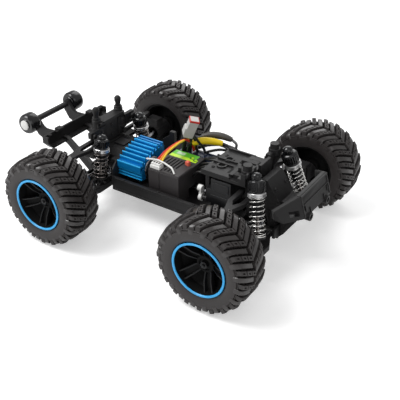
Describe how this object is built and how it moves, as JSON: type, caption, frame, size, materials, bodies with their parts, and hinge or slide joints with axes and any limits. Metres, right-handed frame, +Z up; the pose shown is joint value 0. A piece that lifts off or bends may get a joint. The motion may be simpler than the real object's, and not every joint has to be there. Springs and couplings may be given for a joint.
{
  "type": "rc monster truck",
  "caption": "Four-wheel-drive radio-controlled monster truck chassis without its body shell, with working suspension, steering and wheelie bar.",
  "frame": {"origin": "on the ground, under the middle of the truck's whole length and width", "axes": "+X forwards, +Y to the truck's left, +Z up"},
  "size_m": [0.319, 0.23, 0.0998],
  "materials": {
    "black_plastic": "fine moulded texture",
    "tyre": "matte, moulded blocks",
    "rim_plastic": "satin black with a blue ring",
    "bright_steel": "satin",
    "gear_steel": "oiled",
    "shock_cap": "glossy, knurled",
    "shock_rod_steel": "polished rod, black cup",
    "nickel_spring": "nickel plated",
    "dark_spring": "dark chrome",
    "wheelie_rubber": "smooth",
    "motor_can": "zinc plated",
    "brass": "machined",
    "blue_aluminium": "anodised blue",
    "radio_case": "satin case with a plain two-tone label",
    "battery_wrap": "shrink wrap",
    "button_coral": "translucent coral",
    "white_plastic": "plain"
  },
  "bodies": {
    "chassis": {"chassis_tub": "black_plastic", "battery_pack": "battery_wrap", "rear_gearbox": "black_plastic", "front_gearbox": "black_plastic", "rear_shock_tower": "black_plastic", "front_shock_tower": "black_plastic", "front_bumper": "black_plastic", "wheelie_bar": "black_plastic", "motor": "motor_can", "heat_sink": "blue_aluminium", "radio_box": "radio_case", "steering_servo": "black_plastic"},
    "lower_arm_front_left": {"lower_arm_front_left": "black_plastic"},
    "upper_arm_front_left": {"upper_arm_front_left": "black_plastic"},
    "hub_front_left": {"hub_carrier_front_left": "black_plastic"},
    "shock_body_front_left": {"shock_body_front_left": "shock_cap", "shock_spring_front_left": "nickel_spring"},
    "shock_rod_front_left": {"shock_rod_front_left": "shock_rod_steel"},
    "wheel_front_left": {"tyre_front_left": "tyre", "rim_front_left": "rim_plastic"},
    "driveshaft_front_left": {"driveshaft_front_left": "bright_steel"},
    "knuckle_left": {"steering_knuckle_left": "black_plastic"},
    "tie_rod_left": {"tie_rod_left": "bright_steel"},
    "lower_arm_front_right": {"lower_arm_front_right": "black_plastic"},
    "upper_arm_front_right": {"upper_arm_front_right": "black_plastic"},
    "hub_front_right": {"hub_carrier_front_right": "black_plastic"},
    "shock_body_front_right": {"shock_body_front_right": "shock_cap", "shock_spring_front_right": "nickel_spring"},
    "shock_rod_front_right": {"shock_rod_front_right": "shock_rod_steel"},
    "wheel_front_right": {"tyre_front_right": "tyre", "rim_front_right": "rim_plastic"},
    "driveshaft_front_right": {"driveshaft_front_right": "bright_steel"},
    "knuckle_right": {"steering_knuckle_right": "black_plastic"},
    "tie_rod_right": {"tie_rod_right": "bright_steel"},
    "lower_arm_rear_left": {"lower_arm_rear_left": "black_plastic"},
    "upper_arm_rear_left": {"upper_arm_rear_left": "black_plastic"},
    "hub_rear_left": {"hub_carrier_rear_left": "black_plastic"},
    "shock_body_rear_left": {"shock_body_rear_left": "shock_cap", "shock_spring_rear_left": "dark_spring"},
    "shock_rod_rear_left": {"shock_rod_rear_left": "shock_rod_steel"},
    "wheel_rear_left": {"tyre_rear_left": "tyre", "rim_rear_left": "rim_plastic"},
    "driveshaft_rear_left": {"driveshaft_rear_left": "bright_steel"},
    "lower_arm_rear_right": {"lower_arm_rear_right": "black_plastic"},
    "upper_arm_rear_right": {"upper_arm_rear_right": "black_plastic"},
    "hub_rear_right": {"hub_carrier_rear_right": "black_plastic"},
    "shock_body_rear_right": {"shock_body_rear_right": "shock_cap", "shock_spring_rear_right": "dark_spring"},
    "shock_rod_rear_right": {"shock_rod_rear_right": "shock_rod_steel"},
    "wheel_rear_right": {"tyre_rear_right": "tyre", "rim_rear_right": "rim_plastic"},
    "driveshaft_rear_right": {"driveshaft_rear_right": "bright_steel"},
    "front_diff": {"front_differential": "gear_steel"},
    "rear_diff": {"rear_differential": "gear_steel"},
    "drive_shaft": {"centre_drive_shaft": "bright_steel"},
    "pinion": {"motor_pinion": "brass"},
    "button": {"setup_button": "button_coral"},
    "servo_arm": {"servo_arm": "white_plastic"},
    "wheelie_wheel_left": {"wheelie_wheel_left": "wheelie_rubber"},
    "wheelie_wheel_right": {"wheelie_wheel_right": "wheelie_rubber"}
  },
  "joints": [
    {"name": "suspension_front_left", "type": "hinge", "parent": "chassis", "child": "lower_arm_front_left", "pos_m": [0.1095, 0.016, 0.03], "axis": [1, 0, 0], "range_deg": [0, 15], "stiffness_Nm_per_rad": 0.8, "springref_deg": -22.92},
    {"name": "upper_arm_hinge_front_left", "type": "hinge", "parent": "chassis", "child": "upper_arm_front_left", "pos_m": [0.1095, 0.016, 0.064], "axis": [1, 0, 0], "range_deg": [0, 15]},
    {"name": "hub_hinge_front_left", "type": "hinge", "parent": "lower_arm_front_left", "child": "hub_front_left", "pos_m": [0.1095, 0.062, 0.028], "axis": [1, 0, 0], "range_deg": [-15, 0]},
    {"name": "shock_swing_front_left", "type": "hinge", "parent": "chassis", "child": "shock_body_front_left", "pos_m": [0.111, 0.027, 0.0915], "axis": [1, 0, 0], "range_deg": [0, 1.28]},
    {"name": "shock_stroke_front_left", "type": "slide", "parent": "shock_body_front_left", "child": "shock_rod_front_left", "axis": [-0.2191, -0.272, 0.937], "range_m": [0, 0.00725], "deforming": ["shock_spring_front_left"]},
    {"name": "steer_left", "type": "hinge", "parent": "hub_front_left", "child": "knuckle_left", "pos_m": [0.1095, 0.064, 0.043], "axis": [0, 0, 1], "range_deg": [-25, 25]},
    {"name": "tie_rod_slide_left", "type": "slide", "parent": "lower_arm_front_left", "child": "tie_rod_left", "axis": [0, 1, 0], "range_m": [-0.0085, 0.0085]},
    {"name": "wheel_spin_front_left", "type": "hinge", "parent": "knuckle_left", "child": "wheel_front_left", "pos_m": [0.1095, 0.095, 0.043], "axis": [0, 1, 0], "continuous": true},
    {"name": "driveshaft_spin_front_left", "type": "hinge", "parent": "lower_arm_front_left", "child": "driveshaft_front_left", "pos_m": [0.1095, 0.013, 0.036], "axis": [0, 0.9911, 0.1334], "continuous": true},
    {"name": "suspension_front_right", "type": "hinge", "parent": "chassis", "child": "lower_arm_front_right", "pos_m": [0.1095, -0.016, 0.03], "axis": [-1, 0, 0], "range_deg": [0, 15], "stiffness_Nm_per_rad": 0.8, "springref_deg": -22.92},
    {"name": "upper_arm_hinge_front_right", "type": "hinge", "parent": "chassis", "child": "upper_arm_front_right", "pos_m": [0.1095, -0.016, 0.064], "axis": [-1, 0, 0], "range_deg": [0, 15]},
    {"name": "hub_hinge_front_right", "type": "hinge", "parent": "lower_arm_front_right", "child": "hub_front_right", "pos_m": [0.1095, -0.062, 0.028], "axis": [-1, 0, 0], "range_deg": [-15, 0]},
    {"name": "shock_swing_front_right", "type": "hinge", "parent": "chassis", "child": "shock_body_front_right", "pos_m": [0.111, -0.027, 0.0915], "axis": [-1, 0, 0], "range_deg": [0, 1.28]},
    {"name": "shock_stroke_front_right", "type": "slide", "parent": "shock_body_front_right", "child": "shock_rod_front_right", "axis": [-0.2191, 0.272, 0.937], "range_m": [0, 0.00725], "deforming": ["shock_spring_front_right"]},
    {"name": "steer_right", "type": "hinge", "parent": "hub_front_right", "child": "knuckle_right", "pos_m": [0.1095, -0.064, 0.043], "axis": [0, 0, 1], "range_deg": [-25, 25]},
    {"name": "tie_rod_slide_right", "type": "slide", "parent": "lower_arm_front_right", "child": "tie_rod_right", "axis": [0, 1, 0], "range_m": [-0.0085, 0.0085]},
    {"name": "wheel_spin_front_right", "type": "hinge", "parent": "knuckle_right", "child": "wheel_front_right", "pos_m": [0.1095, -0.095, 0.043], "axis": [0, 1, 0], "continuous": true},
    {"name": "driveshaft_spin_front_right", "type": "hinge", "parent": "lower_arm_front_right", "child": "driveshaft_front_right", "pos_m": [0.1095, -0.013, 0.036], "axis": [0, 0.9911, -0.1334], "continuous": true},
    {"name": "suspension_rear_left", "type": "hinge", "parent": "chassis", "child": "lower_arm_rear_left", "pos_m": [-0.0645, 0.016, 0.03], "axis": [1, 0, 0], "range_deg": [0, 15], "stiffness_Nm_per_rad": 0.8, "springref_deg": -22.92},
    {"name": "upper_arm_hinge_rear_left", "type": "hinge", "parent": "chassis", "child": "upper_arm_rear_left", "pos_m": [-0.0645, 0.016, 0.064], "axis": [1, 0, 0], "range_deg": [0, 15]},
    {"name": "hub_hinge_rear_left", "type": "hinge", "parent": "lower_arm_rear_left", "child": "hub_rear_left", "pos_m": [-0.0645, 0.062, 0.028], "axis": [1, 0, 0], "range_deg": [-15, 0]},
    {"name": "shock_swing_rear_left", "type": "hinge", "parent": "chassis", "child": "shock_body_rear_left", "pos_m": [-0.0565, 0.0285, 0.0805], "axis": [1, 0, 0], "range_deg": [0, 0.512]},
    {"name": "shock_stroke_rear_left", "type": "slide", "parent": "shock_body_rear_left", "child": "shock_rod_rear_left", "axis": [0, -0.1591, 0.9873], "range_m": [0, 0.00542], "deforming": ["shock_spring_rear_left"]},
    {"name": "wheel_spin_rear_left", "type": "hinge", "parent": "hub_rear_left", "child": "wheel_rear_left", "pos_m": [-0.0645, 0.095, 0.043], "axis": [0, 1, 0], "continuous": true},
    {"name": "driveshaft_spin_rear_left", "type": "hinge", "parent": "lower_arm_rear_left", "child": "driveshaft_rear_left", "pos_m": [-0.0645, 0.013, 0.036], "axis": [0, 0.9911, 0.1334], "continuous": true},
    {"name": "suspension_rear_right", "type": "hinge", "parent": "chassis", "child": "lower_arm_rear_right", "pos_m": [-0.0645, -0.016, 0.03], "axis": [-1, 0, 0], "range_deg": [0, 15], "stiffness_Nm_per_rad": 0.8, "springref_deg": -22.92},
    {"name": "upper_arm_hinge_rear_right", "type": "hinge", "parent": "chassis", "child": "upper_arm_rear_right", "pos_m": [-0.0645, -0.016, 0.064], "axis": [-1, 0, 0], "range_deg": [0, 15]},
    {"name": "hub_hinge_rear_right", "type": "hinge", "parent": "lower_arm_rear_right", "child": "hub_rear_right", "pos_m": [-0.0645, -0.062, 0.028], "axis": [-1, 0, 0], "range_deg": [-15, 0]},
    {"name": "shock_swing_rear_right", "type": "hinge", "parent": "chassis", "child": "shock_body_rear_right", "pos_m": [-0.0565, -0.0285, 0.0805], "axis": [-1, 0, 0], "range_deg": [0, 0.512]},
    {"name": "shock_stroke_rear_right", "type": "slide", "parent": "shock_body_rear_right", "child": "shock_rod_rear_right", "axis": [0, 0.1591, 0.9873], "range_m": [0, 0.00542], "deforming": ["shock_spring_rear_right"]},
    {"name": "wheel_spin_rear_right", "type": "hinge", "parent": "hub_rear_right", "child": "wheel_rear_right", "pos_m": [-0.0645, -0.095, 0.043], "axis": [0, 1, 0], "continuous": true},
    {"name": "driveshaft_spin_rear_right", "type": "hinge", "parent": "lower_arm_rear_right", "child": "driveshaft_rear_right", "pos_m": [-0.0645, -0.013, 0.036], "axis": [0, 0.9911, -0.1334], "continuous": true},
    {"name": "front_diff_spin", "type": "hinge", "parent": "chassis", "child": "front_diff", "pos_m": [0.1095, 0, 0.036], "axis": [0, 1, 0], "continuous": true},
    {"name": "rear_diff_spin", "type": "hinge", "parent": "chassis", "child": "rear_diff", "pos_m": [-0.0645, 0, 0.036], "axis": [0, 1, 0], "continuous": true},
    {"name": "drive_shaft_spin", "type": "hinge", "parent": "chassis", "child": "drive_shaft", "pos_m": [0.0225, 0, 0.036], "axis": [1, 0, 0], "continuous": true},
    {"name": "motor_spin", "type": "hinge", "parent": "chassis", "child": "pinion", "pos_m": [-0.0395, -0.009, 0.04923], "axis": [1, 0, 0], "continuous": true},
    {"name": "button_press", "type": "slide", "parent": "chassis", "child": "button", "axis": [0, 0, 1], "range_m": [-0.0008, 0], "stiffness_N_per_m": 150, "springref_m": 0.001},
    {"name": "servo_turn", "type": "hinge", "parent": "chassis", "child": "servo_arm", "pos_m": [0.0511, -0.02, 0.044], "axis": [1, 0, 0], "range_deg": [-31, 31]},
    {"name": "wheelie_wheel_spin_left", "type": "hinge", "parent": "chassis", "child": "wheelie_wheel_left", "pos_m": [-0.1492, 0.0324, 0.0695], "axis": [0, 1, 0], "continuous": true},
    {"name": "wheelie_wheel_spin_right", "type": "hinge", "parent": "chassis", "child": "wheelie_wheel_right", "pos_m": [-0.1492, -0.0324, 0.0695], "axis": [0, 1, 0], "continuous": true}
  ],
  "couplings": [
    {"joint": "upper_arm_hinge_front_left", "follows": "suspension_front_left", "ratio": 1},
    {"joint": "hub_hinge_front_left", "follows": "suspension_front_left", "ratio": -1},
    {"joint": "shock_swing_front_left", "follows": "suspension_front_left", "ratio": 0.08513},
    {"joint": "shock_stroke_front_left", "follows": "suspension_front_left", "m_per_rad": 0.027678},
    {"joint": "tie_rod_slide_left", "follows": "steer_left", "m_per_rad": -0.019},
    {"joint": "wheel_spin_front_left", "follows": "wheel_spin_rear_left", "ratio": 1},
    {"joint": "driveshaft_spin_front_left", "follows": "wheel_spin_rear_left", "ratio": 1},
    {"joint": "upper_arm_hinge_front_right", "follows": "suspension_front_right", "ratio": 1},
    {"joint": "hub_hinge_front_right", "follows": "suspension_front_right", "ratio": -1},
    {"joint": "shock_swing_front_right", "follows": "suspension_front_right", "ratio": 0.08513},
    {"joint": "shock_stroke_front_right", "follows": "suspension_front_right", "m_per_rad": 0.027678},
    {"joint": "steer_right", "follows": "steer_left", "ratio": 1},
    {"joint": "tie_rod_slide_right", "follows": "steer_left", "m_per_rad": -0.019},
    {"joint": "wheel_spin_front_right", "follows": "wheel_spin_rear_left", "ratio": 1},
    {"joint": "driveshaft_spin_front_right", "follows": "wheel_spin_rear_left", "ratio": 1},
    {"joint": "upper_arm_hinge_rear_left", "follows": "suspension_rear_left", "ratio": 1},
    {"joint": "hub_hinge_rear_left", "follows": "suspension_rear_left", "ratio": -1},
    {"joint": "shock_swing_rear_left", "follows": "suspension_rear_left", "ratio": 0.03414},
    {"joint": "shock_stroke_rear_left", "follows": "suspension_rear_left", "m_per_rad": 0.020696},
    {"joint": "driveshaft_spin_rear_left", "follows": "wheel_spin_rear_left", "ratio": 1},
    {"joint": "upper_arm_hinge_rear_right", "follows": "suspension_rear_right", "ratio": 1},
    {"joint": "hub_hinge_rear_right", "follows": "suspension_rear_right", "ratio": -1},
    {"joint": "shock_swing_rear_right", "follows": "suspension_rear_right", "ratio": 0.03414},
    {"joint": "shock_stroke_rear_right", "follows": "suspension_rear_right", "m_per_rad": 0.020696},
    {"joint": "wheel_spin_rear_right", "follows": "wheel_spin_rear_left", "ratio": 1},
    {"joint": "driveshaft_spin_rear_right", "follows": "wheel_spin_rear_left", "ratio": 1},
    {"joint": "front_diff_spin", "follows": "wheel_spin_rear_left", "ratio": 1},
    {"joint": "rear_diff_spin", "follows": "wheel_spin_rear_left", "ratio": 1},
    {"joint": "drive_shaft_spin", "follows": "wheel_spin_rear_left", "ratio": 2.5},
    {"joint": "motor_spin", "follows": "wheel_spin_rear_left", "ratio": -5.5},
    {"joint": "servo_turn", "follows": "steer_left", "ratio": 1.2}
  ]
}
